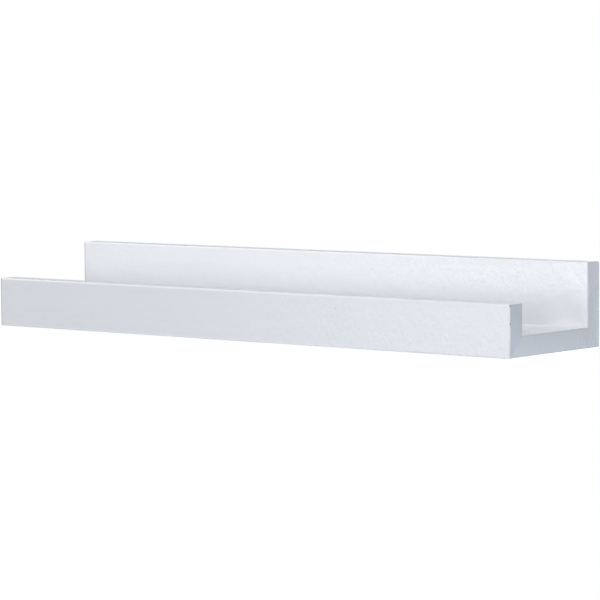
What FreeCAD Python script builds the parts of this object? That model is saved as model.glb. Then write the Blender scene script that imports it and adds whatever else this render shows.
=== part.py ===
"""Floating wall shelf: three lacquered boards, the joinery between them and the keyhole hangers behind.

Millimetres. X runs along the shelf, the wall lies at +Y and Z is up. The rear face is the plane Y = 0, and
the origin lies on it at mid-length, level with the seats of the two hangers. Heights in the sketches are
measured from the underside of the shelf, and each body's Placement brings it down to the origin's level.
"""
import FreeCAD, Part

import math
import os
from types import SimpleNamespace

import Sketcher

SIZES = {
    # Boards
    "shelf_length": 610.0,
    "shelf_depth": 140.0,  # from the rear face to the front of the lip
    "back_height": 77.0,
    "back_thickness": 19.0,
    "base_thickness": 19.0,
    "lip_height": 47.0,  # from the underside
    "lip_thickness": 19.0,
    "arris_radius": 1.2,  # rounding of every outer edge
    # Biscuits across the mitres, where the base meets the lip and the back board
    "biscuit_count": 4,  # in each mitre
    "biscuit_inset": 65.0,  # from an end of the shelf to the middle of the nearest biscuit
    "biscuit_length": 47.0,
    "biscuit_width": 15.0,
    "biscuit_thickness": 4.0,
    "biscuit_setback": 9.5,  # along a mitre, from its inner corner to the middle of the biscuit
    "biscuit_face_gap": 0.1,
    "biscuit_edge_gap": 0.5,
    "biscuit_end_gap": 3.0,
    # Keyhole hangers in the rear face
    "hanger_inset": 101.8,  # from an end of the shelf to the middle of a hanger
    "hanger_top_margin": 7.5,  # from the top of the back board to the plate
    "hanger_travel": 10.0,  # from the entry hole up to the seat
    "entry_diameter": 9.5,
    "slot_width": 4.8,
    "plate_thickness": 1.6,
    "plate_sink": 0.2,  # outer face below the rear face of the board
    "plate_gap": 0.2,  # around the plate in its recess
    "plate_rim": 2.5,  # plate beside the pocket, bearing on the board
    "plate_end": 6.0,  # plate beyond the middle of a screw
    "plate_screw_land": 5.5,  # from the pocket to the middle of a screw
    "plate_edge_radius": 0.4,
    "pocket_margin": 1.25,  # room around a wall screw's head behind the plate
    "pocket_depth": 8.0,  # from the rear face
    "plate_screw_length": 12.0,
    "plate_screw_diameter": 3.5,
    "plate_screw_head": 6.4,
    "plate_screw_sink": 0.05,  # top of the head below the plate
    "shank_play": 0.25,  # around the shank in the plate
    "thread_gap": 0.02,  # around the thread in its pilot hole
    "pilot_reserve": 1.0,  # pilot hole beyond the screw's point
    "recess_span": 3.6,  # cross recess in the head, tip to tip
    "recess_width": 1.0,
    "recess_depth": 1.1,
}

HEAD_ANGLE = 90.0  # a countersunk head narrows by as much as it is deep
SCREW_POINT_LENGTH = 1.5  # length of a screw's point, in shank diameters
CLEAR = 5.0  # how far a cutting outline stands outside the boards
SAME = 1e-6  # places closer than this are the same place
SIDES = {"left": -1, "right": 1}
# Turns a piece drawn on the XY plane so that its Z faces the wall and its Y is up.
TOWARDS_WALL = FreeCAD.Rotation(FreeCAD.Vector(0, 1, 1), 180)
NO_TURN = FreeCAD.Rotation()


class Size:
    """A size: the text of a spreadsheet expression and its value now."""

    def __init__(self, text, value):
        self.text = text
        self.value = float(value)

    def __add__(self, other):
        other = as_size(other)
        return Size(f"({self.text} + {other.text})", self.value + other.value)

    def __sub__(self, other):
        other = as_size(other)
        return Size(f"({self.text} - {other.text})", self.value - other.value)

    def __mul__(self, other):
        other = as_size(other)
        return Size(f"({self.text} * {other.text})", self.value * other.value)

    def __truediv__(self, other):
        other = as_size(other)
        return Size(f"({self.text} / {other.text})", self.value / other.value)

    def __neg__(self):
        return Size(f"(-{self.text})", -self.value)

    __radd__ = __add__
    __rmul__ = __mul__


def as_size(number):
    """A plain number as a Size, and a Size as it is."""
    return number if isinstance(number, Size) else Size(repr(number), number)


def diagonal(width, height):
    """The diagonal of a rectangle."""
    text = f"sqrt({width.text} * {width.text} + {height.text} * {height.text})"
    return Size(text, math.hypot(width.value, height.value))


def lean(run, rise):
    """How far a line with this run and rise leans from upright, in degrees."""
    return Size(f"atan({run.text} / {rise.text})", math.degrees(math.atan2(run.value, rise.value)))


def evenly(count, first, last):
    """Evenly spaced places from first to last."""
    step = (last - first) / (count - 1)
    return [first + step * index for index in range(count)]


def fill_sheet(doc):
    """Writes the driving sizes into the spreadsheet and returns them by name."""
    sheet = doc.addObject("Spreadsheet::Sheet", "Sizes")
    for row, (name, value) in enumerate(SIZES.items(), 1):
        sheet.set(f"A{row}", name)
        sheet.set(f"B{row}", str(value))
        sheet.setAlias(f"B{row}", name)
    doc.recompute()
    return SimpleNamespace(**{name: Size(f"Sizes.{name}", value) for name, value in SIZES.items()})


class Mitre:
    """A mitre of the base with a standing board, from their inner corner down to the outer bottom corner."""

    def __init__(self, name, size, inner_y, thickness, outwards):
        self.name = name
        self.inner = (inner_y, size.base_thickness)
        self.foot = (
            inner_y + (thickness + CLEAR) * outwards,
            -(size.base_thickness / thickness * CLEAR),
        )
        length = diagonal(thickness, size.base_thickness)
        self.lean = lean(thickness, size.base_thickness)
        self.tilt_axis = FreeCAD.Vector(outwards, 0, 0)
        self.biscuit_y = inner_y + size.biscuit_setback * thickness / length * outwards
        self.biscuit_height = size.base_thickness - size.biscuit_setback * size.base_thickness / length

    def tilt(self):
        """Turns a biscuit, drawn flat, square to the mitre."""
        return FreeCAD.Rotation(self.tilt_axis, self.lean.value)


class Layout:
    """Places and sizes that follow from the driving ones."""

    def __init__(self, size):
        self.front = -size.shelf_depth
        self.lip_rear = size.lip_thickness - size.shelf_depth
        self.back_front = -size.back_thickness
        self.channel_middle = (self.lip_rear + self.back_front) / 2
        self.front_mitre = Mitre("front_mitre", size, self.lip_rear, size.lip_thickness, -1)
        self.rear_mitre = Mitre("rear_mitre", size, self.back_front, size.back_thickness, 1)
        last_biscuit = size.shelf_length / 2 - size.biscuit_inset
        self.biscuit_x = evenly(int(SIZES["biscuit_count"]), -last_biscuit, last_biscuit)
        # Hangers, from the middle of the seat outwards
        self.pocket_radius = size.entry_diameter / 2 + size.pocket_margin
        self.plate_radius = self.pocket_radius + size.plate_rim
        self.screw_reach = self.pocket_radius + size.plate_screw_land
        self.plate_reach = self.screw_reach + size.plate_end
        self.seat_height = size.back_height - size.hanger_top_margin - self.plate_reach
        self.entry_height = self.seat_height - size.hanger_travel
        self.hanger_x = size.shelf_length / 2 - size.hanger_inset


def origin_plane(body, role):
    """The body's own origin plane with this role."""
    return next(feature for feature in body.Origin.OriginFeatures if feature.Role == role)


def new_body(doc, label, base=None):
    """A body that becomes one piece, started from another body's shape if base is given."""
    body = doc.addObject("PartDesign::Body", label)
    body.Label = label
    if base is not None:
        body.BaseFeature = base
        doc.recompute()
    return body


def new_sketch(body, name, role):
    """A sketch on one of the body's origin planes."""
    sketch = body.newObject("Sketcher::SketchObject", name)
    sketch.AttachmentSupport = [(origin_plane(body, role), "")]
    sketch.MapMode = "FlatFace"
    return sketch


def fix(sketch, kind, size, *where):
    """Adds a dimension to the sketch and binds it to its expression."""
    index = sketch.addConstraint(Sketcher.Constraint(kind, *where, size.value))
    sketch.setExpression(f"Constraints[{index}]", size.text)


def fix_point(sketch, geometry, end, point):
    """Holds an end or centre of a sketch element at a point."""
    fix(sketch, "DistanceX", as_size(point[0]), -1, 1, geometry, end)
    fix(sketch, "DistanceY", as_size(point[1]), -1, 1, geometry, end)


def vector(point):
    """A sketch point as a vector."""
    return FreeCAD.Vector(as_size(point[0]).value, as_size(point[1]).value, 0)


def add_outline(sketch, corners):
    """A closed outline of straight lines."""
    count = len(corners)
    for index, corner in enumerate(corners):
        following = corners[(index + 1) % count]
        sketch.addGeometry(Part.LineSegment(vector(corner), vector(following)))
    for index, corner in enumerate(corners):
        sketch.addConstraint(Sketcher.Constraint("Coincident", index, 2, (index + 1) % count, 1))
        fix_point(sketch, index, 1, corner)


def add_circle(sketch, centre, radius):
    """A circle."""
    circle = sketch.addGeometry(Part.Circle(vector(centre), FreeCAD.Vector(0, 0, 1), radius.value))
    fix_point(sketch, circle, 3, centre)
    fix(sketch, "Radius", radius, circle)


def add_arc(sketch, centre, radius, start, end):
    """An arc of a circle from one angle to another, in radians."""
    circle = Part.Circle(vector(centre), FreeCAD.Vector(0, 0, 1), radius)
    return sketch.addGeometry(Part.ArcOfCircle(circle, start, end))


def add_upright_slot(sketch, middle, low, high, radius):
    """An upright slot: half circles about its low and high centres, joined by straight sides."""
    top = add_arc(sketch, (middle, high), radius.value, 0, math.pi)
    bottom = add_arc(sketch, (middle, low), radius.value, math.pi, 2 * math.pi)
    left = middle - radius
    right = middle + radius
    left_side = sketch.addGeometry(Part.LineSegment(vector((left, high)), vector((left, low))))
    right_side = sketch.addGeometry(Part.LineSegment(vector((right, low)), vector((right, high))))
    for first, first_end, second, second_end in (
        (top, 2, left_side, 1),
        (left_side, 2, bottom, 1),
        (bottom, 2, right_side, 1),
        (right_side, 2, top, 1),
    ):
        sketch.addConstraint(Sketcher.Constraint("Tangent", first, first_end, second, second_end))
    sketch.addConstraint(Sketcher.Constraint("Vertical", left_side))
    fix_point(sketch, top, 3, (middle, high))
    fix_point(sketch, bottom, 3, (middle, low))
    fix(sketch, "Radius", radius, top)


def add_lens(sketch, middle, half_length, half_width):
    """A lens of two equal arcs, as a biscuit has."""
    radius = (half_length * half_length + half_width * half_width) / (half_width * 2)
    reach = math.asin(half_length.value / radius.value)
    rise = radius - half_width
    upper = add_arc(sketch, (middle, -rise), radius.value, math.pi / 2 - reach, math.pi / 2 + reach)
    lower = add_arc(sketch, (middle, rise), radius.value, 1.5 * math.pi - reach, 1.5 * math.pi + reach)
    sketch.addConstraint(Sketcher.Constraint("Coincident", upper, 2, lower, 1))
    sketch.addConstraint(Sketcher.Constraint("Coincident", lower, 2, upper, 1))
    fix_point(sketch, upper, 1, (middle + half_length, 0))
    fix_point(sketch, upper, 2, (middle - half_length, 0))
    fix(sketch, "Radius", radius, upper)
    fix(sketch, "Radius", radius, lower)


def add_pad(body, sketch, length, midplane=False, reverse=False):
    """Pads a sketch."""
    pad = body.newObject("PartDesign::Pad", f"{sketch.Label}_pad")
    pad.Profile = sketch
    pad.Midplane = midplane
    pad.Reversed = reverse
    pad.setExpression("Length", length.text)
    body.Document.recompute()
    return pad


def cut_with(body, feature, sketch):
    """Gives a cutting feature its sketch, and makes sure that it took material away."""
    before = body.Shape.Volume
    feature.Profile = sketch
    body.Document.recompute()
    if feature.Shape.Volume >= before:
        raise RuntimeError(f"{feature.Label} cuts nothing from {body.Label}")
    return feature


def cut_through(body, sketch):
    """Cuts a sketch right through, both ways."""
    pocket = body.newObject("PartDesign::Pocket", f"{sketch.Label}_cut")
    pocket.Type = "ThroughAll"
    pocket.Midplane = True
    return cut_with(body, pocket, sketch)


def cut_pocket(body, sketch, depth, reverse=False, midplane=False):
    """Cuts a sketch to a depth."""
    pocket = body.newObject("PartDesign::Pocket", f"{sketch.Label}_cut")
    pocket.Reversed = reverse
    pocket.Midplane = midplane
    pocket.setExpression("Length", depth.text)
    return cut_with(body, pocket, sketch)


def drill(body, sketch, shank, head, sink, play):
    """Drills and countersinks for the screws at a sketch's circles."""
    hole = body.newObject("PartDesign::Hole", f"{sketch.Label}_drilling")
    hole.Profile = sketch
    body.Document.recompute()
    hole.ThreadType = "None"
    hole.DepthType = "ThroughAll"
    hole.HoleCutType = "Countersink"
    hole.HoleCutCustomValues = True
    hole.HoleCutCountersinkAngle = HEAD_ANGLE
    hole.setExpression("Diameter", (shank + play * 2).text)
    hole.setExpression("HoleCutDiameter", (head + sink * 2).text)
    body.Document.recompute()
    if hole.Shape.Volume >= hole.BaseFeature.Shape.Volume:
        raise RuntimeError(f"{hole.Label} drills nothing from {body.Label}")
    return hole


def place(body, turn, x, y, height, layout):
    """Places a body in the shelf: height is measured from the underside."""
    x = as_size(x)
    y = as_size(y)
    level = as_size(height) - layout.seat_height
    body.Placement = FreeCAD.Placement(FreeCAD.Vector(x.value, y.value, level.value), turn)
    for axis, size in (("x", x), ("y", y), ("z", level)):
        body.setExpression(f"Placement.Base.{axis}", size.text)


def make_outline(doc, size, layout):
    """The whole section with its rounded arrises, which the three boards are cut from."""
    body = new_body(doc, "shelf_outline")
    sketch = new_sketch(body, "section", "YZ_Plane")
    add_outline(
        sketch,
        [
            (layout.front, 0),
            (0, 0),
            (0, size.back_height),
            (layout.back_front, size.back_height),
            (layout.back_front, size.base_thickness),
            (layout.lip_rear, size.base_thickness),
            (layout.lip_rear, size.lip_height),
            (layout.front, size.lip_height),
        ],
    )
    pad = add_pad(body, sketch, size.shelf_length, midplane=True)
    inner_corners = (layout.back_front.value, layout.lip_rear.value)

    def is_inner_corner(edge):
        middle = edge.CenterOfMass
        along = abs(middle.x) < SAME and abs(middle.z - size.base_thickness.value) < SAME
        return along and any(abs(middle.y - y) < SAME for y in inner_corners)

    edges = [f"Edge{i}" for i, edge in enumerate(pad.Shape.Edges, 1) if not is_inner_corner(edge)]
    rounding = body.newObject("PartDesign::Fillet", "arrises")
    rounding.Base = (pad, edges)
    rounding.setExpression("Radius", size.arris_radius.text)
    doc.recompute()
    return body


def cut_board(doc, label, outline, away):
    """A board: the outline's shape without what lies inside the corners of away."""
    body = new_body(doc, label, outline)
    sketch = new_sketch(body, f"{label}_away", "YZ_Plane")
    add_outline(sketch, away)
    cut_through(body, sketch)
    return body


def cut_biscuit_slots(body, mitre, size, layout):
    """The slots across a mitre, in the plane that its biscuits lie in."""
    sketch = new_sketch(body, f"{body.Label}_{mitre.name}_slots", "XY_Plane")
    middle = FreeCAD.Vector(0, mitre.biscuit_y.value, mitre.biscuit_height.value)
    sketch.AttachmentOffset = FreeCAD.Placement(middle, mitre.tilt())
    sketch.setExpression("AttachmentOffset.Base.y", mitre.biscuit_y.text)
    sketch.setExpression("AttachmentOffset.Base.z", mitre.biscuit_height.text)
    sketch.setExpression("AttachmentOffset.Rotation.Angle", mitre.lean.text)
    half_length = size.biscuit_length / 2 + size.biscuit_end_gap
    half_width = size.biscuit_width / 2 + size.biscuit_edge_gap
    for x in layout.biscuit_x:
        add_lens(sketch, x, half_length, half_width)
    cut_pocket(body, sketch, size.biscuit_thickness + size.biscuit_face_gap * 2, midplane=True)


def cut_hanger_seats(body, size, layout):
    """For each hanger: the recess that its plate lies in, the head pocket behind it and two pilot holes."""
    recess = new_sketch(body, "plate_recesses", "XZ_Plane")
    pocket = new_sketch(body, "head_pockets", "XZ_Plane")
    pilots = new_sketch(body, "plate_screw_pilots", "XZ_Plane")
    straight = layout.plate_reach - layout.plate_radius
    screw_radius = size.plate_screw_diameter / 2 + size.thread_gap
    for side in SIDES.values():
        x = layout.hanger_x * side
        low = layout.entry_height
        high = layout.seat_height
        add_upright_slot(recess, x, low - straight, high + straight, layout.plate_radius + size.plate_gap)
        add_upright_slot(pocket, x, low, high, layout.pocket_radius)
        for height in (low - layout.screw_reach, high + layout.screw_reach):
            add_circle(pilots, (x, height), screw_radius)
    cut_pocket(body, recess, size.plate_sink + size.plate_thickness, reverse=True)
    cut_pocket(body, pocket, size.pocket_depth, reverse=True)
    screw_depth = size.plate_sink + size.plate_screw_sink + size.plate_screw_length
    cut_pocket(body, pilots, screw_depth + size.pilot_reserve, reverse=True)


def make_boards(doc, size, layout):
    """The three boards. Each outline of what is cut away crosses the open channel between lip and back."""
    outline = make_outline(doc, size, layout)
    front_mitre = layout.front_mitre
    rear_mitre = layout.rear_mitre
    ahead, _ = front_mitre.foot
    behind, _ = rear_mitre.foot
    over = size.back_height + CLEAR
    under = -(size.base_thickness + CLEAR)

    back = cut_board(
        doc,
        "back_board",
        outline,
        [
            rear_mitre.foot,
            rear_mitre.inner,
            (layout.channel_middle, over),
            (ahead, over),
            (ahead, under),
            (behind, under),
        ],
    )
    cut_biscuit_slots(back, rear_mitre, size, layout)
    cut_hanger_seats(back, size, layout)

    base = cut_board(
        doc,
        "base_board",
        outline,
        [
            front_mitre.foot,
            front_mitre.inner,
            (layout.channel_middle, size.base_thickness + CLEAR),
            rear_mitre.inner,
            rear_mitre.foot,
            (behind, over),
            (ahead, over),
        ],
    )
    cut_biscuit_slots(base, front_mitre, size, layout)
    cut_biscuit_slots(base, rear_mitre, size, layout)

    lip = cut_board(
        doc,
        "front_lip",
        outline,
        [
            front_mitre.foot,
            front_mitre.inner,
            (layout.channel_middle, over),
            (behind, over),
            (behind, under),
            (ahead, under),
        ],
    )
    cut_biscuit_slots(lip, front_mitre, size, layout)

    boards = [back, base, lip]
    for board in boards:
        place(board, NO_TURN, 0, 0, 0, layout)
    return boards


def make_biscuit(doc, label, mitre, x, size, layout):
    """One biscuit, drawn flat about its middle and tilted square to its mitre."""
    body = new_body(doc, label)
    sketch = new_sketch(body, f"{label}_lens", "XY_Plane")
    add_lens(sketch, as_size(0), size.biscuit_length / 2, size.biscuit_width / 2)
    add_pad(body, sketch, size.biscuit_thickness, midplane=True)
    place(body, mitre.tilt(), x, mitre.biscuit_y, mitre.biscuit_height, layout)
    body.setExpression("Placement.Rotation.Angle", mitre.lean.text)
    return body


def make_plate_screw(doc, label, size):
    """A countersunk screw, drawn point down from the top of its head at the origin, with a cross recess."""
    length = size.plate_screw_length
    shank = size.plate_screw_diameter
    body = new_body(doc, label)
    profile = new_sketch(body, f"{label}_profile", "XZ_Plane")
    shank_radius = shank / 2
    head_radius = size.plate_screw_head / 2
    add_outline(
        profile,
        [
            (0, 0),
            (head_radius, 0),
            (shank_radius, shank_radius - head_radius),
            (shank_radius, shank * SCREW_POINT_LENGTH - length),
            (0, -length),
        ],
    )
    turned = body.newObject("PartDesign::Revolution", f"{label}_turned")
    turned.Profile = profile
    turned.ReferenceAxis = (profile, ["V_Axis"])
    turned.Angle = 360
    doc.recompute()
    recess = new_sketch(body, f"{label}_recess", "XY_Plane")
    tip = size.recess_span / 2
    side = size.recess_width / 2
    add_outline(
        recess,
        [
            (tip, -side),
            (tip, side),
            (side, side),
            (side, tip),
            (-side, tip),
            (-side, side),
            (-tip, side),
            (-tip, -side),
            (-side, -side),
            (-side, -tip),
            (side, -tip),
            (side, -side),
        ],
    )
    cut_pocket(body, recess, size.recess_depth)
    return body


def make_plate(doc, label, size, layout):
    """A keyhole plate, drawn about the middle of its seat with its outer face on the XY plane."""
    body = new_body(doc, label)
    entry = -size.hanger_travel
    straight = layout.plate_reach - layout.plate_radius
    blank = new_sketch(body, f"{label}_blank", "XY_Plane")
    add_upright_slot(blank, as_size(0), entry - straight, straight, layout.plate_radius)
    pad = add_pad(body, blank, size.plate_thickness, reverse=True)
    outer_edges = [f"Edge{i}" for i, edge in enumerate(pad.Shape.Edges, 1) if abs(edge.BoundBox.ZMin) < SAME]
    rounding = body.newObject("PartDesign::Fillet", f"{label}_edge")
    rounding.Base = (pad, outer_edges)
    rounding.setExpression("Radius", size.plate_edge_radius.text)
    doc.recompute()
    slot = new_sketch(body, f"{label}_slot", "XY_Plane")
    add_upright_slot(slot, as_size(0), entry, as_size(0), size.slot_width / 2)
    cut_through(body, slot)
    hole = new_sketch(body, f"{label}_entry", "XY_Plane")
    add_circle(hole, (0, entry), size.entry_diameter / 2)
    cut_through(body, hole)
    screws = new_sketch(body, f"{label}_screw_holes", "XY_Plane")
    for height in (entry - layout.screw_reach, layout.screw_reach):
        add_circle(screws, (0, height), size.plate_screw_diameter / 2)
    shank = size.plate_screw_diameter
    drill(body, screws, shank, size.plate_screw_head, size.plate_screw_sink, size.shank_play)
    return body


def make_hardware(doc, size, layout):
    """Biscuits, screws and hangers, each piece a body of its own."""
    pieces = []
    for mitre in (layout.front_mitre, layout.rear_mitre):
        for number, x in enumerate(layout.biscuit_x, 1):
            pieces.append(make_biscuit(doc, f"{mitre.name}_biscuit_{number}", mitre, x, size, layout))
    for name, side in SIDES.items():
        x = layout.hanger_x * side
        plate = make_plate(doc, f"{name}_keyhole_plate", size, layout)
        place(plate, TOWARDS_WALL, x, -size.plate_sink, layout.seat_height, layout)
        pieces.append(plate)
        heights = {
            "upper": layout.seat_height + layout.screw_reach,
            "lower": layout.entry_height - layout.screw_reach,
        }
        for where, height in heights.items():
            label = f"{name}_plate_screw_{where}"
            screw = make_plate_screw(doc, label, size)
            place(screw, TOWARDS_WALL, x, -(size.plate_sink + size.plate_screw_sink), height, layout)
            pieces.append(screw)
    return pieces


def check(doc, pieces):
    """Stops if an object failed or a piece is not one valid solid."""
    for item in doc.Objects:
        if "Invalid" in item.State or "Error" in item.State:
            raise RuntimeError(f"{item.Label} failed: {item.State}")
    for piece in pieces:
        shape = piece.Shape
        if shape.isNull() or not shape.isValid() or len(shape.Solids) != 1:
            raise RuntimeError(f"{piece.Label} is not one valid solid")


def main():
    """Builds the shelf and writes one STEP file for each piece."""
    doc = FreeCAD.newDocument("floating_shelf")
    size = fill_sheet(doc)
    layout = Layout(size)
    pieces = make_boards(doc, size, layout) + make_hardware(doc, size, layout)
    doc.recompute()
    check(doc, pieces)
    os.makedirs("parts", exist_ok=True)
    for piece in pieces:
        piece.Shape.exportStep(f"parts/{piece.Label}.step")
        box = piece.Shape.BoundBox
        print(f"{piece.Label}: {piece.Shape.Volume:.1f} mm3, X {box.XMin:.2f} to {box.XMax:.2f},"
              f" Y {box.YMin:.2f} to {box.YMax:.2f}, Z {box.ZMin:.2f} to {box.ZMax:.2f}")


main()
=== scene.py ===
"""Looks of the floating wall shelf: its lacquered boards, the hardware behind them, and the studio.

Everything is in metres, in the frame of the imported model: X along the shelf, the wall at +Y, Z up, and the
origin on the rear face at mid-length, level with the seats of the hangers.
"""

import logging
import math
import random
from collections.abc import Sequence
from dataclasses import dataclass, field
from enum import Enum, IntEnum
from functools import cached_property

import bmesh
import bpy
from mathutils import Matrix, Vector, noise


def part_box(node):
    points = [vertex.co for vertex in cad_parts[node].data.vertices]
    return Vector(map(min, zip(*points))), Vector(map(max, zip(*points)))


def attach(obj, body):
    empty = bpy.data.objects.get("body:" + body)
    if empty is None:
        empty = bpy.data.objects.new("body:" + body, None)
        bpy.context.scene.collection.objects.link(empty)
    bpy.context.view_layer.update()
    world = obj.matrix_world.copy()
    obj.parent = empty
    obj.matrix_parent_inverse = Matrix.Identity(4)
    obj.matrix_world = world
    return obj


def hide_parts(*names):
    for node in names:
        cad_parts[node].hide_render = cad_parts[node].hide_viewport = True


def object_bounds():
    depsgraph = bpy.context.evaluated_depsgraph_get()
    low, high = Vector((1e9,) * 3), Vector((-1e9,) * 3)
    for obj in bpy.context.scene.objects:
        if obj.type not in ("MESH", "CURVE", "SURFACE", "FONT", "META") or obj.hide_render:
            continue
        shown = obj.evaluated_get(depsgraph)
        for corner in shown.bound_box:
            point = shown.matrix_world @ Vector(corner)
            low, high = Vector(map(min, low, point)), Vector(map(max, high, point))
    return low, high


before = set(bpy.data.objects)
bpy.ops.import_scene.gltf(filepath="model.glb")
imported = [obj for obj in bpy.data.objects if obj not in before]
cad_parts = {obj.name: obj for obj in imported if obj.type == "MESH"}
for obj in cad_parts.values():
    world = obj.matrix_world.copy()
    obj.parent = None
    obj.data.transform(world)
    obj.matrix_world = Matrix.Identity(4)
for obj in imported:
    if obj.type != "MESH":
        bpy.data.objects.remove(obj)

Colour = tuple[float, float, float]
Place = tuple[float, float, float]
Size = tuple[float, float, float]
Span = tuple[float, float]

CAD_BOX = [list(corner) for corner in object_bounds()]
HALF_LENGTH = CAD_BOX[1][0]
BODY = "root"
RIM = "rim"
LOG = logging.getLogger("shelf")

# Where a mask starts and where it is full: of a face that looks along an axis, and of a noise.
SQUARE: Span = (0.8, 0.98)
SOFT: Span = (0.3, 0.7)


class Board(Enum):
    """A board, by the name of its node."""

    BACK = "back_board"
    BASE = "base_board"
    LIP = "front_lip"


class Side(Enum):
    """A half of the shelf, by the word that the names of its hardware start with."""

    LEFT = "left"
    RIGHT = "right"


class Layer(IntEnum):
    """What a face of a board shows, which is also its material's index."""

    LACQUER = 0
    CORE = 1
    PRIMER = 2


def board_boxes() -> list[tuple[Vector, Vector]]:
    """The lowest and the highest corner of the back board, of the base and of the lip."""
    return [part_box(board.value) for board in Board]


# Shader maths ----------------------------


@dataclass(frozen=True)
class Noise:
    """Smooth noise: the size of its lumps, its octaves, the share of each finer one, and its squeeze."""

    size: float
    detail: float = 2.0
    rough: float = 0.5
    squeeze: Size = (1.0, 1.0, 1.0)


@dataclass(frozen=True)
class Wire:
    """An output socket that arithmetic is written on. Each operation adds its node."""

    shader: "Shader"
    socket: "bpy.types.NodeSocket | None"

    def _math(self, operation: str, *values: "Wire | float") -> "Wire":
        """A Math node on these values."""
        return self.shader.node("ShaderNodeMath", {"operation": operation}, dict(enumerate(values)))

    def __add__(self, other: "Wire | float") -> "Wire":
        """Sum."""
        return self._math("ADD", self, other)

    __radd__ = __add__

    def __sub__(self, other: "Wire | float") -> "Wire":
        """Difference."""
        return self._math("SUBTRACT", self, other)

    def __rsub__(self, other: "Wire | float") -> "Wire":
        """Difference, with the number first."""
        return self._math("SUBTRACT", other, self)

    def __mul__(self, other: "Wire | float") -> "Wire":
        """Product."""
        return self._math("MULTIPLY", self, other)

    __rmul__ = __mul__

    def __neg__(self) -> "Wire":
        """Value with the other sign."""
        return self * -1.0

    def __abs__(self) -> "Wire":
        """Value without its sign."""
        return self._math("ABSOLUTE", self)

    def __or__(self, other: "Wire") -> "Wire":
        """The larger of two masks."""
        return self._math("MAXIMUM", self, other)

    def step(self, low: float, high: float) -> "Wire":
        """A smooth step from 0, at low, to 1, at high, which may be below low."""
        values = {"Value": self, "From Min": low, "From Max": high}
        return self.shader.node("ShaderNodeMapRange", {"interpolation_type": "SMOOTHSTEP"}, values)


class Shader:
    """The node tree of a material or of the world."""

    def __init__(self, tree: bpy.types.NodeTree) -> None:
        """Empties the tree that is to be filled."""
        self.tree = tree
        tree.nodes.clear()

    def node(
        self,
        kind: str,
        settings: dict[str, object] | None = None,
        inputs: dict[str | int, object] | None = None,
        output: str | int = 0,
    ) -> Wire:
        """Adds a node.

        Args:
            kind: the node's type.
            settings: its properties, which are set first.
            inputs: values or wires for its sockets, by name or by number.
            output: the output socket that is wanted.

        Returns:
            That output. A node without outputs gives a wire with no socket.
        """
        made = self.tree.nodes.new(kind)
        for name, value in (settings or {}).items():
            setattr(made, name, value)
        for name, value in (inputs or {}).items():
            if isinstance(value, Wire):
                self.tree.links.new(value.socket, made.inputs[name])
            else:
                made.inputs[name].default_value = value
        return Wire(self, made.outputs[output] if len(made.outputs) else None)

    @cached_property
    def at(self) -> Wire:
        """The point on the surface, in metres."""
        return self.node("ShaderNodeTexCoord", output="Object")

    def facing(self, axis: str) -> Wire:
        """How far the surface looks along an axis, from -1 to 1."""
        return self.part(self.node("ShaderNodeNewGeometry", output="Normal"), axis)

    def rim(self) -> Wire:
        """How far the surface is a rounded arris, from 0 to 1."""
        return self.node("ShaderNodeAttribute", {"attribute_name": RIM}, output="Fac")

    def stretched(self, vector: Wire, scale: Size) -> Wire:
        """A vector scaled along each axis."""
        return self.node("ShaderNodeVectorMath", {"operation": "MULTIPLY"}, {0: vector, 1: scale})

    def shifted(self, vector: Wire, start: Place) -> Wire:
        """A vector measured from another start."""
        return self.node("ShaderNodeVectorMath", {"operation": "SUBTRACT"}, {0: vector, 1: start})

    def length(self, vector: Wire) -> Wire:
        """How long a vector is."""
        return self.node("ShaderNodeVectorMath", {"operation": "LENGTH"}, {0: vector}, "Value")

    def part(self, vector: Wire, axis: str) -> Wire:
        """One of a vector's three numbers."""
        return self.node("ShaderNodeSeparateXYZ", {}, {0: vector}, axis)

    def noise(self, look: Noise) -> Wire:
        """Smooth noise.

        Args:
            look: its sizes.

        Returns:
            The noise, from 0 to 1 about 0.5.
        """
        where = self.stretched(self.at, look.squeeze)
        values = {"Vector": where, "Scale": 1 / look.size, "Detail": look.detail, "Roughness": look.rough}
        return self.node("ShaderNodeTexNoise", {}, values)

    def specks(self, spacing: float, size: float, solid: float = 0.4) -> Wire:
        """A mask of scattered dots, whose size is a radius, and solid the share of it that is full."""
        values = {"Vector": self.at, "Scale": 1 / spacing}
        return self.node("ShaderNodeTexVoronoi", {}, values).step(size / spacing, size / spacing * solid)

    def mix(self, share: Wire | float, first: Wire | Colour, second: Wire | Colour) -> Wire:
        """A mix of two colours, by a share that is 0 for the first and 1 for the second."""
        ends = [end if isinstance(end, Wire) else (*end, 1.0) for end in (first, second)]
        return self.node("ShaderNodeMix", {"data_type": "RGBA"}, {0: share, 6: ends[0], 7: ends[1]}, 2)

    def bump(self, height: Wire, depth: float, under: Wire | None = None) -> Wire:
        """A normal bent by a relief.

        Args:
            height: the relief, from 0 to 1.
            depth: how high 1 stands, in metres.
            under: the normal that the relief lies on.

        Returns:
            The bent normal.
        """
        values: dict[str | int, object] = {"Height": height, "Distance": depth}
        if under is not None:
            values["Normal"] = under
        return self.node("ShaderNodeBump", {}, values)

    def blend(self, share: Wire | float, first: Wire, second: Wire) -> Wire:
        """A mix of two surfaces."""
        return self.node("ShaderNodeMixShader", {}, {0: share, 1: first, 2: second})

    def output(self, surface: Wire, kind: str = "ShaderNodeOutputMaterial") -> None:
        """Ends the tree with this surface."""
        self.node(kind, {}, {"Surface": surface})

    def principled(self, **inputs: object) -> None:
        """Ends the tree with a Principled surface. Its sockets are named with an underscore for a space."""
        values = {name.replace("_", " "): value for name, value in inputs.items()}
        self.output(self.node("ShaderNodeBsdfPrincipled", {}, values))


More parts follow.
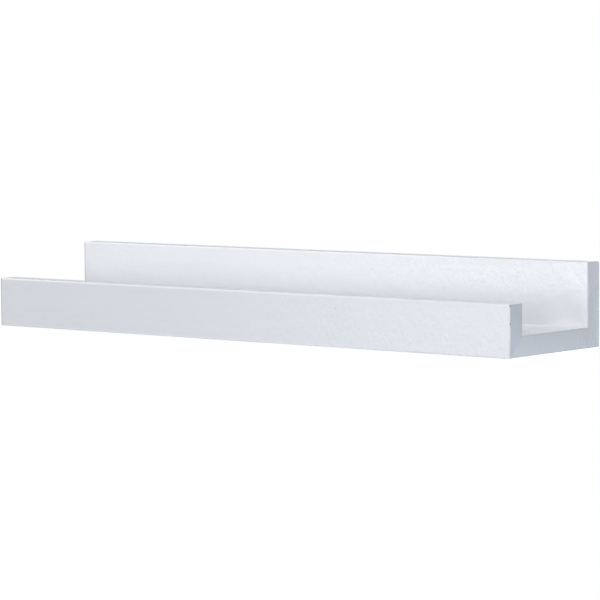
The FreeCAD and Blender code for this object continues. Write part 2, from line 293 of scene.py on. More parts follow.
@dataclass(frozen=True)
class Ramp:
    """A run along one axis, from where something starts to where it is full."""

    axis: str
    start: float
    full: float

    def along(self, shader: Shader) -> Wire:
        """How far along the run a point is, from 0 to 1."""
        return shader.part(shader.at, self.axis).step(self.start, self.full)


def region(shader: Shader, ramps: Sequence[Ramp]) -> Wire:
    """How far along several runs at once a point is, from 0 to 1.

    Args:
        shader: the tree that it is worked out in.
        ramps: the runs.

    Returns:
        The product of the shares.
    """
    share = ramps[0].along(shader)
    for ramp in ramps[1:]:
        share = share * ramp.along(shader)
    return share


def toned(colour: Colour, factor: float) -> Colour:
    """A colour made lighter or darker."""
    red, green, blue = colour
    return (red * factor, green * factor, blue * factor)


# Finishes --------------------------------


@dataclass(frozen=True)
class Finish:
    """A finish, by a name that no material of the frame has. It is made when it is first asked for."""

    name: str

    def fill(self, shader: Shader) -> None:
        """Builds the finish in the empty tree of its material."""
        raise NotImplementedError(self.name)

    def material(self) -> bpy.types.Material:
        """The material.

        Returns:
            The one of this finish's name.
        """
        found = bpy.data.materials.get(self.name)
        if found is None:
            found = bpy.data.materials.new(self.name)
            found.use_nodes = True
            self.fill(Shader(found.node_tree))
        return found


@dataclass(frozen=True)
class Arrises:
    """A board's arrises, with painted light: a painted highlight along them that fades towards the right,
    painted shade on them at the right-hand end, and deeper painted shade at the left.

    Right and left are measured in from the ends, and above is the least that an arris with painted shade at
    the right looks up.
    """

    bright: float = 1.045
    plain: float = 0.97
    fade: Span = (0.05, 0.25)
    right_shade: float = 0.8
    right: Span = (0.0013, 0.0008)
    above: Span = (-0.3, -0.1)
    left_shade: float = 0.6
    left: Span = (0.002, 0.0013)

    def dress(self, shader: Shader, sawn: Wire, tone: Wire, flat: Colour, end: Colour) -> Wire:
        """Paints the arrises' highlight and shade onto a colour.

        Args:
            shader: the material's tree.
            sawn: how far the surface is a sawn end.
            tone: the colour of the faces.
            flat: the coat's own colour on the flats.
            end: the coat's own colour on the ends.

        Returns:
            The colour with its arrises.
        """
        rim, along = shader.rim(), shader.part(shader.at, "X")
        right = along.step(*(HALF_LENGTH - inwards for inwards in self.right))
        left = along.step(*(inwards - HALF_LENGTH for inwards in self.left))
        # Painted highlight along the arrises, strongest towards the left and fading to slight painted shade
        # towards the right.
        highlighted = shader.mix(along.step(*self.fade), toned(flat, self.bright), toned(flat, self.plain))
        tone = shader.mix(rim * (1 - (left | right)), tone, highlighted)
        # Painted shade on the arrises at the right-hand end, except where they look down.
        right_shade = rim * right * shader.facing("Z").step(*self.above)
        tone = shader.mix(right_shade, tone, toned(end, self.right_shade))
        # Painted shade over the faces at the left-hand end, though not on the end itself.
        return shader.mix(left * (1 - sawn), tone, toned(end, self.left_shade))


@dataclass(frozen=True)
class Peel:
    """Orange peel on slow waves: light all over, and heavy on part of the front faces and of the ends."""

    relief: Noise = Noise(0.0042, 3.0, 0.6, (1.2, 1.2, 0.62))
    depth: float = 0.00084
    light: float = 0.31
    heavy: tuple[Ramp, ...] = (Ramp("X", -0.06, 0.14),)
    end_share: float = 0.5
    waves: Noise = Noise(0.0168, 1.0)
    wave_depth: float = 0.00051

    def bend(self, shader: Shader, sawn: Wire) -> Wire:
        """Bends the normal.

        Args:
            shader: the material's tree.
            sawn: how far the surface is a sawn end.

        Returns:
            The bent normal.
        """
        front = (-shader.facing("Y")).step(*SQUARE)
        heavy = region(shader, self.heavy) * (front + sawn * self.end_share)
        relief = shader.noise(self.relief) * (heavy * (1 - self.light) + self.light)
        waves = shader.noise(self.waves)
        return shader.bump(waves, self.wave_depth, shader.bump(relief, self.depth))


@dataclass(frozen=True)
class ArrisStreak:
    """A stretch of an upright arris that is darker in patches."""

    place: Place
    width: Span = (0.001, 0.0004)
    squeeze: Size = (1.0, 1.0, 0.06)
    patches: Noise = Noise(0.004)
    patchy: Span = (0.25, 0.5)
    colour: Colour = (0.4464, 0.4402, 0.434)
    cover: float = 0.5

    def mark(self, shader: Shader, tone: Wire) -> Wire:
        """Adds the dark patches to a colour.

        Args:
            shader: the material's tree.
            tone: the colour around them.

        Returns:
            The colour with the patches.
        """
        away = shader.length(shader.stretched(shader.shifted(shader.at, self.place), self.squeeze))
        patches = shader.noise(self.patches).step(*self.patchy)
        return shader.mix(away.step(*self.width) * patches * self.cover, tone, self.colour)


@dataclass(frozen=True)
class DustGrain:
    """A dark grain of dust that is caught in the coat."""

    place: Place
    width: Span = (0.0009, 0.0004)
    height: float = 0.0002
    colour: Colour = (0.396, 0.3905, 0.385)
    cover: float = 0.5

    def lump(self, shader: Shader) -> Wire:
        """How far a point is within the grain, from 0 to 1."""
        return shader.length(shader.shifted(shader.at, self.place)).step(*self.width)

    def mark(self, shader: Shader, tone: Wire) -> Wire:
        """A colour with the grain on it."""
        return shader.mix(self.lump(shader) * self.cover, tone, self.colour)


@dataclass(frozen=True)
class Lacquer(Finish):
    """Satin white lacquer on fibreboard: cloudy and mottled, with orange peel and duller sawn ends, and
    painted shade on upward faces and over part of the other faces.
    """

    end_ramp: Ramp
    colour: Colour = (0.846, 0.853, 0.865)
    cloud: Noise = Noise(0.09)
    cloud_dark: float = 0.988
    mottle: Noise = Noise(0.005, 3.0, 0.6)
    mottle_light: float = 1.025
    mottle_cover: float = 0.5
    streaks: Noise = Noise(0.0022, 3.0, 0.6, (0.02, 1.0, 1.0))
    streaky: Span = (0.35, 0.75)
    streak_dark: float = 0.988
    # Painted shade on the upward faces, and over the region of the other faces that far marks out.
    upper_shade: Colour = (0.925, 0.917, 0.905)
    far_shade: Colour = (0.946, 0.946, 0.94)
    far: tuple[Ramp, ...] = (Ramp("X", 0.25, -0.1),)
    end_colour: Colour = (0.841, 0.847, 0.863)
    end_dark: float = 0.93
    end_pale: float = 1.03
    end_cloud: Noise = Noise(0.006, 3.0)
    end_cloud_dark: float = 0.96
    end_cloud_cover: float = 0.2
    dust_size: float = 0.0004
    dust_spacing: float = 0.07
    dust_dark: float = 0.75
    dust_cover: float = 0.35
    roughness: float = 0.42
    mottle_rough: float = 0.1
    end_rough: float = 0.1
    arris_rough: float = 0.05
    arrises: Arrises = Arrises()
    peel: Peel = Peel()
    arris_streak: ArrisStreak | None = None
    grain: DustGrain | None = None

    def flats(self, shader: Shader, mottle: Wire) -> Wire:
        """The colour of the flat faces, with painted shade on the upward faces and over the far region.

        Args:
            shader: the material's tree.
            mottle: the fine cloudiness of the coat.

        Returns:
            The colour.
        """
        cloud = shader.noise(self.cloud).step(*SOFT)
        mottled = mottle.step(*SOFT) * self.mottle_cover
        streaks = shader.noise(self.streaks).step(*self.streaky)
        tone = shader.mix(cloud, toned(self.colour, self.cloud_dark), self.colour)
        tone = shader.mix(mottled, tone, toned(self.colour, self.mottle_light))
        tone = shader.mix(streaks, tone, toned(self.colour, self.streak_dark))
        # Painted shade: darker on the upward faces, and darker over the far region of the other faces.
        upper = shader.facing("Z").step(*SQUARE)
        far = region(shader, self.far) * (1 - upper)
        tone = shader.mix(far, tone, shader.stretched(tone, self.far_shade))
        return shader.mix(upper, tone, shader.stretched(tone, self.upper_shade))

    def ends(self, shader: Shader) -> Wire:
        """The colour of the sawn ends, darker at the start of their ramp and paler at its full end.

        Args:
            shader: the material's tree.

        Returns:
            The colour.
        """
        dark_end, pale_end = toned(self.end_colour, self.end_dark), toned(self.end_colour, self.end_pale)
        tone = shader.mix(self.end_ramp.along(shader), dark_end, pale_end)
        cloud = shader.noise(self.end_cloud).step(*SOFT) * self.end_cloud_cover
        return shader.mix(cloud, tone, toned(self.end_colour, self.end_cloud_dark))

    def marks(self, shader: Shader, tone: Wire) -> Wire:
        """Adds the dust specks, the dark stretch of an arris and the grain of dust to a colour.

        Args:
            shader: the material's tree.
            tone: the clean colour.

        Returns:
            The marked colour.
        """
        dust = shader.specks(self.dust_spacing, self.dust_size)
        tone = shader.mix(dust * self.dust_cover, tone, toned(self.colour, self.dust_dark))
        for spot in (self.arris_streak, self.grain):
            if spot is not None:
                tone = spot.mark(shader, tone)
        return tone

    def fill(self, shader: Shader) -> None:
        """Builds the finish.

        Args:
            shader: the empty tree of its material.
        """
        sawn = abs(shader.facing("X")).step(*SQUARE)
        mottle = shader.noise(self.mottle)
        tone = shader.mix(sawn, self.flats(shader, mottle), self.ends(shader))
        tone = self.arrises.dress(shader, sawn, tone, self.colour, self.end_colour)
        tone = self.marks(shader, tone)
        bent = self.peel.bend(shader, sawn)
        if self.grain is not None:
            bent = shader.bump(self.grain.lump(shader), self.grain.height, bent)
        roughness = self.roughness + (mottle - 0.5) * self.mottle_rough
        roughness = roughness + sawn * self.end_rough + shader.rim() * self.arris_rough
        shader.principled(Base_Color=tone, Roughness=roughness, Normal=bent)


@dataclass(frozen=True)
class Fibreboard(Finish):
    """Bare core of the boards, where a cutter went in."""

    colour: Colour = (0.4, 0.27, 0.165)
    fibres: Noise = Noise(0.0011, 4.0, 0.65)
    fibrous: Span = (0.25, 0.75)
    fibre_dark: float = 0.72
    fibre_light: float = 1.25
    patches: Noise = Noise(0.0088)
    patch_cover: float = 0.5
    relief: float = 0.000132
    roughness: float = 0.85
    fibre_rough: float = 0.1

    def fill(self, shader: Shader) -> None:
        """Builds the finish.

        Args:
            shader: the empty tree of its material.
        """
        fluff = shader.noise(self.fibres)
        dark, light = toned(self.colour, self.fibre_dark), toned(self.colour, self.fibre_light)
        tone = shader.mix(fluff.step(*self.fibrous), dark, light)
        tone = shader.mix(shader.noise(self.patches) * self.patch_cover, tone, self.colour)
        bent = shader.bump(fluff, self.relief)
        roughness = self.roughness + fluff * self.fibre_rough
        shader.principled(Base_Color=tone, Roughness=roughness, Normal=bent)


@dataclass(frozen=True)
class Primer(Finish):
    """Grey primer with dirty scratches, where a chip has broken out of the lacquer."""

    colour: Colour = (0.34, 0.35, 0.37)
    scratches: Noise = Noise(0.0003, 3.0, 0.6, (1.0, 1.0, 0.3))
    scratched: Span = (0.35, 0.7)
    scratch_light: float = 1.2
    scratch_dark: float = 0.75
    soil: Noise = Noise(0.0012)
    soil_dark: float = 0.6
    soil_cover: float = 0.4
    relief: float = 0.00003
    roughness: float = 0.7
    scratch_rough: float = 0.2

    def fill(self, shader: Shader) -> None:
        """Builds the finish.

        Args:
            shader: the empty tree of its material.
        """
        scratch = shader.noise(self.scratches)
        light, dark = toned(self.colour, self.scratch_light), toned(self.colour, self.scratch_dark)
        tone = shader.mix(scratch.step(*self.scratched), light, dark)
        soil = shader.noise(self.soil) * self.soil_cover
        tone = shader.mix(soil, tone, toned(self.colour, self.soil_dark))
        bent = shader.bump(scratch, self.relief)
        roughness = self.roughness + scratch * self.scratch_rough
        shader.principled(Base_Color=tone, Roughness=roughness, Normal=bent)


@dataclass(frozen=True)
class Zinc(Finish):
    """Bright zinc plating on pressed steel, with rolling lines and a cloudy bloom."""

    colour: Colour = (0.66, 0.67, 0.69)
    bloom: Noise = Noise(0.0035, 3.0)
    bloom_dark: float = 0.84
    bloom_light: float = 1.1
    lines: Noise = Noise(0.008, 3.0, 0.6, (16.0, 1.0, 1.0))
    lined: Span = (0.55, 0.8)
    line_dark: float = 0.75
    line_cover: float = 0.3
    relief: float = 0.00001
    roughness: float = 0.24
    bloom_rough: float = 0.16
    line_rough: float = 0.08

    def fill(self, shader: Shader) -> None:
        """Builds the finish.

        Args:
            shader: the empty tree of its material.
        """
        rolled, bloom = shader.noise(self.lines), shader.noise(self.bloom)
        dark, light = toned(self.colour, self.bloom_dark), toned(self.colour, self.bloom_light)
        tone = shader.mix(bloom.step(*SOFT), dark, light)
        lines = rolled.step(*self.lined) * self.line_cover
        tone = shader.mix(lines, tone, toned(self.colour, self.line_dark))
        bent = shader.bump(rolled, self.relief)
        roughness = self.roughness + bloom * self.bloom_rough + rolled * self.line_rough
        shader.principled(Base_Color=tone, Metallic=1.0, Roughness=roughness, Normal=bent)


@dataclass(frozen=True)
class YellowZinc(Finish):
    """Yellow passivated plating, whose straw colour drifts to green and to rose."""

    straw: Colour = (0.74, 0.62, 0.35)
    green: Colour = (0.58, 0.62, 0.38)
    rose: Colour = (0.74, 0.5, 0.4)
    drift: Noise = Noise(0.003)
    drifted: Span = (0.35, 0.7)
    blush: Noise = Noise(0.004, squeeze=(1.0, 1.7, 0.8))
    blushed: Span = (0.5, 0.75)
    blush_cover: float = 0.6
    fine: Noise = Noise(0.0003, 3.0)
    relief: float = 0.000008
    roughness: float = 0.26
    fine_rough: float = 0.16

    def fill(self, shader: Shader) -> None:
        """Builds the finish.

        Args:
            shader: the empty tree of its material.
        """
        fine = shader.noise(self.fine)
        tone = shader.mix(shader.noise(self.drift).step(*self.drifted), self.straw, self.green)
        blush = shader.noise(self.blush).step(*self.blushed) * self.blush_cover
        tone = shader.mix(blush, tone, self.rose)
        bent = shader.bump(fine, self.relief)
        roughness = self.roughness + fine * self.fine_rough
        shader.principled(Base_Color=tone, Metallic=1.0, Roughness=roughness, Normal=bent)


@dataclass(frozen=True)
class PressedBeech(Finish):
    """Compressed beech, with short dark flecks along its grain."""

    colour: Colour = (0.62, 0.42, 0.25)
    grain: Noise = Noise(0.0016, 4.0, 0.6, (0.3, 3.0, 3.0))
    grained: Span = (0.25, 0.75)
    grain_dark: float = 0.78
    grain_light: float = 1.15
    flecks: Noise = Noise(0.0012, 1.0, squeeze=(0.8, 4.0, 4.0))
    flecked: Span = (0.6, 0.7)
    fleck_dark: float = 0.5
    fleck_cover: float = 0.5
    relief: float = 0.0001
    roughness: float = 0.75
    grain_rough: float = 0.1

    def fill(self, shader: Shader) -> None:
        """Builds the finish.

        Args:
            shader: the empty tree of its material.
        """
        grain = shader.noise(self.grain)
        dark, light = toned(self.colour, self.grain_dark), toned(self.colour, self.grain_light)
        tone = shader.mix(grain.step(*self.grained), dark, light)
        flecks = shader.noise(self.flecks).step(*self.flecked) * self.fleck_cover
        tone = shader.mix(flecks, tone, toned(self.colour, self.fleck_dark))
        bent = shader.bump(grain, self.relief)
        roughness = self.roughness + grain * self.grain_rough
        shader.principled(Base_Color=tone, Roughness=roughness, Normal=bent)


def lacquers() -> dict[Board, Lacquer]:
    """The lacquer of each board.

    Returns:
        The lacquers, with what lies at an edge measured from that edge.
    """
    (back_low, back_high), (base_low, base_high), (lip_low, lip_high) = board_boxes()
    ramp_bottom = base_low.z + 0.002
    back_peel = Peel(
        depth=0.0016,
        light=0.2,
        heavy=(Ramp("X", -0.06, 0.22), Ramp("Z", -0.016, 0.006)),
        wave_depth=0.00085,
    )
    return {
        Board.BACK: Lacquer(
            "white_lacquer_back",
            Ramp("Y", back_low.y, back_high.y),
            # The back board's colour is lighter than the other boards': painted light.
            colour=(0.9, 0.904, 0.91),
            # Painted shadow of the lip on the lower back towards the right-hand end.
            far_shade=(0.93, 0.94, 0.945),
            far=(Ramp("X", 0.22, 0.3), Ramp("Z", 0.0, -0.025)),
            end_colour=(0.846, 0.855, 0.873),
            peel=back_peel,
        ),
        Board.BASE: Lacquer(
            "white_lacquer_base",
            Ramp("Z", base_high.z, ramp_bottom),
            streak_dark=0.965,
            # Painted shade on the base's top face, lighter than the other boards'.
            upper_shade=(0.965, 0.955, 0.95),
        ),
        Board.LIP: Lacquer(
            "white_lacquer_lip",
            Ramp("Z", lip_high.z - 0.007, ramp_bottom),
            # The lip's ends are darker than the other boards' ends: painted shade.
            end_colour=(0.723, 0.741, 0.778),
            end_pale=1.09,
            arris_streak=ArrisStreak((lip_high.x - 0.00005, lip_low.y + 0.0009, lip_high.z - 0.0102)),
            grain=DustGrain((0.1146, lip_low.y, lip_high.z - 0.0116)),
        ),
    }


LACQUERS = lacquers()
CORE = Fibreboard("bare_fibreboard")
PRIMER = Primer("grey_primer")
ZINC = Zinc("bright_zinc")
YELLOW_ZINC = YellowZinc("yellow_zinc")
BEECH = PressedBeech("compressed_beech")


# Meshes ----------------------------------


def piece(name: str, mesh: bpy.types.Mesh, slot: str, *nodes: str) -> bpy.types.Object:
    """Makes a piece of the shelf.

    Args:
        name: its name.
        mesh: its mesh, in the frame's coordinates.
        slot: the record's material slot; not used.
        nodes: the CAD nodes that it stands for.

    Returns:
        The piece, riding on the shelf's body.
    """
    made = bpy.data.objects.new(name, mesh)
    bpy.context.scene.collection.objects.link(made)
    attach(made, BODY)
    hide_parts(*nodes)
    return made


def skin(mesh: bmesh.types.BMesh, rows: Sequence[Sequence[bmesh.types.BMVert]]) -> None:
    """Closes a mesh round rows of points: faces between the rows, and a cap at either end.

    Args:
        mesh: the mesh that the points are in.
        rows: its cross sections from one end to the other, with as many points in each.
    """
    for here, there in zip(rows, rows[1:]):
        for index, vert in enumerate(here):
            after = (index + 1) % len(here)
            mesh.faces.new((vert, here[after], there[after], there[index]))
    mesh.faces.new(list(reversed(rows[0])))
    mesh.faces.new(rows[-1])


@dataclass(frozen=True)
class Bore:
    """A straight bore into the rear face, round or with the centres of two round ends above each other.

    Its reach is how far those centres are from its middle, and it starts clear of the face.
    """

    radius: float
    depth: float
    sides: int
    reach: float = 0.0
    clear: float = 0.001


@dataclass
class Cutter:
    """Closed shapes that are cut out of a board together, and the layer that they lay bare."""

    layer: Layer = Layer.CORE
    mesh: bmesh.types.BMesh = field(default_factory=bmesh.new)

    def prism(self, outline: Sequence[Vector], ends: Sequence[Vector]) -> None:
        """Adds the shape between an outline moved by one end and the same moved by the other."""
        skin(self.mesh, [[self.mesh.verts.new(point + end) for point in outline] for end in ends])

    def bore(self, middle: Vector, shape: Bore) -> None:
        """Adds a bore into the rear face.

        Args:
            middle: the middle of what it is made for, of which x and z count.
            shape: its sizes.
        """
        outline = []
        for step in range(shape.sides):
            angle = math.tau * (step + 0.5) / shape.sides
            centre = middle.z + math.copysign(shape.reach, math.sin(angle))
            x, z = middle.x + shape.radius * math.cos(angle), centre + shape.radius * math.sin(angle)
            outline.append(Vector((x, 0.0, z)))
        self.prism(outline, [Vector((0.0, y, 0.0)) for y in (shape.clear, -shape.depth)])

    def lens(self, centre: Vector, through: Vector, size: Size, sides: int) -> None:
        """Adds a slot for a biscuit, which is a lens that lies along X.

        Args:
            centre: its middle.
            through: the direction of its thickness, of unit length and square to X.
            size: its half length, half width and half thickness.
            sides: how many flats each of its two arcs has.
        """
        half_length, half_width, half_thickness = size
        radius = (half_length**2 + half_width**2) / (2 * half_width)
        along = Vector((1.0, 0.0, 0.0))
        across = through.cross(along)
        reach = math.asin(half_length / radius)
        arc = []
        for step in range(sides):
            angle = reach * (2 * step / sides - 1)
            arc.append((radius * math.sin(angle), radius * math.cos(angle) - radius + half_width))
        arc += [(-u, -v) for u, v in arc]
        outline = [centre + along * u + across * v for u, v in arc]
        self.prism(outline, (through * -half_thickness, through * half_thickness))

    def chip(self, centre: Vector, size: Size, ragged: Span, seed: int) -> None:
        """Adds a small ragged lump.

        Args:
            centre: its middle.
            size: its half sizes along X, Y and Z.
            ragged: the least and the most share of them that it reaches.
            seed: picks its shape.
        """
        draw = random.Random(seed)
        lump = bmesh.ops.create_icosphere(self.mesh, subdivisions=2, radius=1.0)
        for vert in lump["verts"]:
            reached = vert.co * draw.uniform(*ragged)
            vert.co = centre + Vector(part * half for part, half in zip(reached, size))

    def cut(self, mesh: bpy.types.Mesh) -> bpy.types.Mesh:
        """Cuts the shapes out of a mesh.

        Args:
            mesh: a closed mesh with a material for each layer, which is used up.

        Returns:
            The cut mesh.
        """
        bmesh.ops.recalc_face_normals(self.mesh, faces=self.mesh.faces)
        for face in self.mesh.faces:
            face.material_index = self.layer
        tool_mesh = bpy.data.meshes.new("tool")
        self.mesh.to_mesh(tool_mesh)
        self.mesh.free()
        for material in mesh.materials:
            tool_mesh.materials.append(material)
        tool = bpy.data.objects.new("tool", tool_mesh)
        work = bpy.data.objects.new("work", mesh)
        for thing in (tool, work):
            bpy.context.scene.collection.objects.link(thing)
        boolean = work.modifiers.new("cut", "BOOLEAN")
        boolean.operation = "DIFFERENCE"
        boolean.solver = "EXACT"
        boolean.material_mode = "TRANSFER"
        boolean.object = tool
        done = bpy.data.meshes.new_from_object(work.evaluated_get(bpy.context.evaluated_depsgraph_get()))
        for thing, data in ((work, mesh), (tool, tool_mesh)):
            bpy.data.objects.remove(thing)
            bpy.data.meshes.remove(data)
        return done


# The boards ------------------------------


@dataclass(frozen=True)
class Mitre:
    """A mitre of the base with a standing board, by its inner and outer corner in the section."""

    board: Board
    inner: Vector
    outer: Vector
    towards: float

    def down(self) -> Vector:
        """The way from the inner corner to the outer one."""
        return (self.outer - self.inner).normalized()

    def normal(self) -> Vector:
        """Square to the mitre, towards the standing board."""
        down = self.down()
        return Vector((0.0, -down.z, down.y)) * self.towards

    def beyond(self, point: Vector) -> bool:
        """Whether a point lies on the standing board's side."""
        return (point - self.outer).dot(self.normal()) > 0


@dataclass(frozen=True)
class Joinery:
    """What is cut into the boards: slots for the biscuits, seats for the hangers, and chips in an arris.

    A slot and a chip are given by half their sizes.
    """

    slot: Size = (0.0265, 0.008, 0.0021)
    slot_sides: int = 20
    recess_gap: float = 0.0002
    recess_depth: float = 0.0018
    recess_sides: int = 64
    pocket: Bore = Bore(0.006, 0.008, 48, 0.005)
    pilot: Bore = Bore(0.00177, 0.01325, 24)
    chips: tuple[tuple[Place, Size], ...] = (
        ((0.3047, -0.1396, -0.0058), (0.0007, 0.0007, 0.0006)),
        ((0.30485, -0.13955, -0.0069), (0.0006, 0.0006, 0.0009)),
        ((0.30485, -0.13955, -0.0217), (0.0006, 0.0006, 0.0011)),
    )
    chip_ragged: Span = (0.72, 1.12)

    def chip_cutters(self) -> list[Cutter]:
        """What has broken out of the lip's right-hand front arris.

        Returns:
            A cutter for each chip.
        """
        cutters = []
        for seed, (place, size) in enumerate(self.chips):
            cutter = Cutter(Layer.PRIMER)
            cutter.chip(Vector(place), size, self.chip_ragged, seed)
            cutters.append(cutter)
        return cutters

    def slots(self, cutter: Cutter, mitre: Mitre) -> None:
        """Adds the slots across one mitre.

        Args:
            cutter: what they are added to.
            mitre: the mitre, whose board names its biscuits.
        """
        word = "front_mitre" if mitre.board is Board.LIP else "rear_mitre"
        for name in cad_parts:
            if name.startswith(word):
                low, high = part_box(name)
                cutter.lens((low + high) / 2, mitre.down(), self.slot, self.slot_sides)

    def hanger_cutters(self) -> list[Cutter]:
        """What is cut out behind the plates.

        Returns:
            The recesses that the plates lie in, and then the head pockets and the screws' pilot holes.
        """
        recesses, pockets = Cutter(), Cutter()
        for side in Side:
            low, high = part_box(f"{side.value}_keyhole_plate")
            middle = (low + high) / 2
            radius = (high.x - low.x) / 2 + self.recess_gap
            reach = (high.z - low.z) / 2 + self.recess_gap - radius
            recesses.bore(middle, Bore(radius, self.recess_depth, self.recess_sides, reach))
            pockets.bore(middle, self.pocket)
            for where in ("upper", "lower"):
                low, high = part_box(f"{side.value}_plate_screw_{where}")
                pockets.bore((low + high) / 2, self.pilot)
        return [recesses, pockets]


@dataclass
class Boards:
    """The three boards: one section swept along the shelf, sawn apart at its mitres, then cut into.

    An arris wanders by a share of its radius: its noise has a rate along the shelf and a step per arris.
    """

    arris: float = 0.0012
    arris_wander: float = 0.1
    wander_rate: float = 9.0
    wander_step: float = 7.3
    wander_level: float = 0.4
    arc_steps: int = 6
    step: float = 0.012
    rim_width: float = 0.0009
    weld: float = 1e-6
    crease: float = 0.00015
    sharp_angle: float = 32.0
    joinery: Joinery = Joinery()
    length: float = field(init=False)
    mitres: list[Mitre] = field(init=False)
    corners: list[Vector] = field(init=False)

    def __post_init__(self) -> None:
        """Measures the frame's boards."""
        (back_low, back_high), (base_low, base_high), (lip_low, lip_high) = board_boxes()
        self.length = back_high.x - back_low.x
        self.mitres = [
            Mitre(
                Board.LIP,
                Vector((0.0, lip_high.y, base_high.z)),
                Vector((0.0, lip_low.y, base_low.z)),
                -1.0,
            ),
            Mitre(
                Board.BACK,
                Vector((0.0, back_low.y, base_high.z)),
                Vector((0.0, back_high.y, base_low.z)),
                1.0,
            ),
        ]
        # Corners of the section as y and z, from the front edge of the underside on.
        self.corners = [
            Vector((lip_low.y, base_low.z)),
            Vector((back_high.y, base_low.z)),
            Vector((back_high.y, back_high.z)),
            Vector((back_low.y, back_high.z)),
            Vector((back_low.y, base_high.z)),
            Vector((lip_high.y, base_high.z)),
            Vector((lip_high.y, lip_high.z)),
            Vector((lip_low.y, lip_high.z)),
        ]

    def outline(self, x: float, inset: float) -> list[tuple[Vector, float]]:
        """The section at one place.

        Args:
            x: the place along the shelf.
            inset: how far its sides have moved in.

        Returns:
            Points, each with 1 on an arris and 0 on the flats. There are as many at every place.
        """
        count = len(self.corners)
        inwards = []
        for index, corner in enumerate(self.corners):
            run = (self.corners[(index + 1) % count] - corner).normalized()
            inwards.append(Vector((-run.y, run.x)))
        flat = self.arris + self.rim_width
        points: list[tuple[Vector, float]] = []
        for index, corner in enumerate(self.corners):
            arriving, leaving = inwards[index - 1], inwards[index]
            hollow = arriving.x * leaving.y - arriving.y * leaving.x < 0
            if hollow:
                points.append((Vector((x, *(corner + (arriving + leaving) * inset))), 0.0))
                continue
            read = Vector((x * self.wander_rate, index * self.wander_step, self.wander_level))
            wander = 1 + self.arris_wander * noise.noise(read)
            radius = self.arris * (wander if inset == 0 else 1.0)
            centre = corner + (arriving + leaving) * radius
            along_in = Vector((arriving.y, -arriving.x))
            along_out = Vector((leaving.y, -leaving.x))
            points.append((Vector((x, *(corner - along_in * flat + arriving * inset))), 0.0))
            for turn in range(self.arc_steps + 1):
                angle = math.pi / 2 * turn / self.arc_steps
                outwards = arriving * -math.cos(angle) + leaving * -math.sin(angle)
                points.append((Vector((x, *(centre + outwards * (radius - inset)))), 1.0))
            points.append((Vector((x, *(corner + along_out * flat + leaving * inset))), 0.0))
        return points

    def stations(self) -> list[tuple[float, float]]:
        """The places where the section is drawn.

        Returns:
            Pairs of x and inset, from the left end to the right.
        """
        angles = [math.pi / 2 * turn / self.arc_steps for turn in range(self.arc_steps + 1)]
        reach = self.length / 2 - self.arris
        end = [(reach + self.arris * math.sin(a), self.arris * (1 - math.cos(a))) for a in angles]
        count = round(2 * reach / self.step)
        middle = [(-reach + 2 * reach * index / count, 0.0) for index in range(1, count)]
        return [(-x, inset) for x, inset in reversed(end)] + middle + end

    def sweep(self) -> bmesh.types.BMesh:
        """The whole section as one closed mesh.

        Returns:
            The mesh.
        """
        mesh = bmesh.new()
        rim = mesh.verts.layers.float.new(RIM)
        rows = []
        for x, inset in self.stations():
            row = []
            for point, share in self.outline(x, inset):
                vert = mesh.verts.new(point)
                turning = 1.0 if inset > 0 else share
                vert[rim] = 0.0 if inset > self.arris - self.weld else turning
                row.append(vert)
            rows.append(row)
        skin(mesh, rows)
        bmesh.ops.remove_doubles(mesh, verts=mesh.verts, dist=self.weld)
        bmesh.ops.dissolve_degenerate(mesh, edges=mesh.edges, dist=self.weld)
        bmesh.ops.recalc_face_normals(mesh, faces=mesh.faces)
        return mesh

    def owner(self, face: bmesh.types.BMFace) -> Board:
        """The board that a face belongs to, once the section has been sawn.

        Args:
            face: a face that crosses no joint.

        Returns:
            Its board.
        """
        middle = face.calc_center_median()
        for mitre in self.mitres:
            if mitre.beyond(middle):
                return mitre.board
        return Board.BASE

    def ease(self, part: bmesh.types.BMesh, sawn: Sequence[bmesh.types.BMFace]) -> None:
        """Takes off the edges where a mitre comes out at the ends, which leaves a hairline there.

        Args:
            part: a board's mesh.
            sawn: its mitre faces.
        """
        end = self.length / 2 - self.weld
        edges = []
        for face in sawn:
            for edge in face.edges:
                if all(abs(vert.co.x) > end for vert in edge.verts):
                    edges.append(edge)
        bmesh.ops.bevel(part, geom=edges, offset=self.crease, segments=1, affect="EDGES")

    def saw(self) -> dict[Board, bpy.types.Mesh]:
        """Saws the section into its boards.

        Returns:
            A closed mesh for each board, with its materials and its cuts.
        """
        whole = self.sweep()
        for mitre in self.mitres:
            everything = whole.verts[:] + whole.edges[:] + whole.faces[:]
            place, normal = mitre.outer, mitre.normal()
            bmesh.ops.bisect_plane(whole, geom=everything, dist=self.weld, plane_co=place, plane_no=normal)
        meshes = {}
        for board in Board:
            part = whole.copy()
            strangers = [face for face in part.faces if self.owner(face) is not board]
            bmesh.ops.delete(part, geom=strangers, context="FACES")
            open_edges = [edge for edge in part.edges if edge.is_boundary]
            self.ease(part, bmesh.ops.holes_fill(part, edges=open_edges)["faces"])
            bmesh.ops.recalc_face_normals(part, faces=part.faces)
            mesh = bpy.data.meshes.new(board.value)
            part.to_mesh(mesh)
            part.free()
            for finish in (LACQUERS[board], CORE, PRIMER):
                mesh.materials.append(finish.material())
            meshes[board] = self.carve(board, mesh)
        whole.free()
        return meshes

    def carve(self, board: Board, mesh: bpy.types.Mesh) -> bpy.types.Mesh:
        """Cuts the joinery into a board.

        Args:
            board: which board it is.
            mesh: its closed mesh, which is used up.

        Returns:
            The mesh with its cuts.
        """
        slots = Cutter()
        for mitre in self.mitres:
            if board in (Board.BASE, mitre.board):
                self.joinery.slots(slots, mitre)
        cutters = [slots]
        if board is Board.BACK:
            cutters += self.joinery.hanger_cutters()
        if board is Board.LIP:
            cutters += self.joinery.chip_cutters()
        for cutter in cutters:
            mesh = cutter.cut(mesh)
        mesh.name = board.value
        return mesh

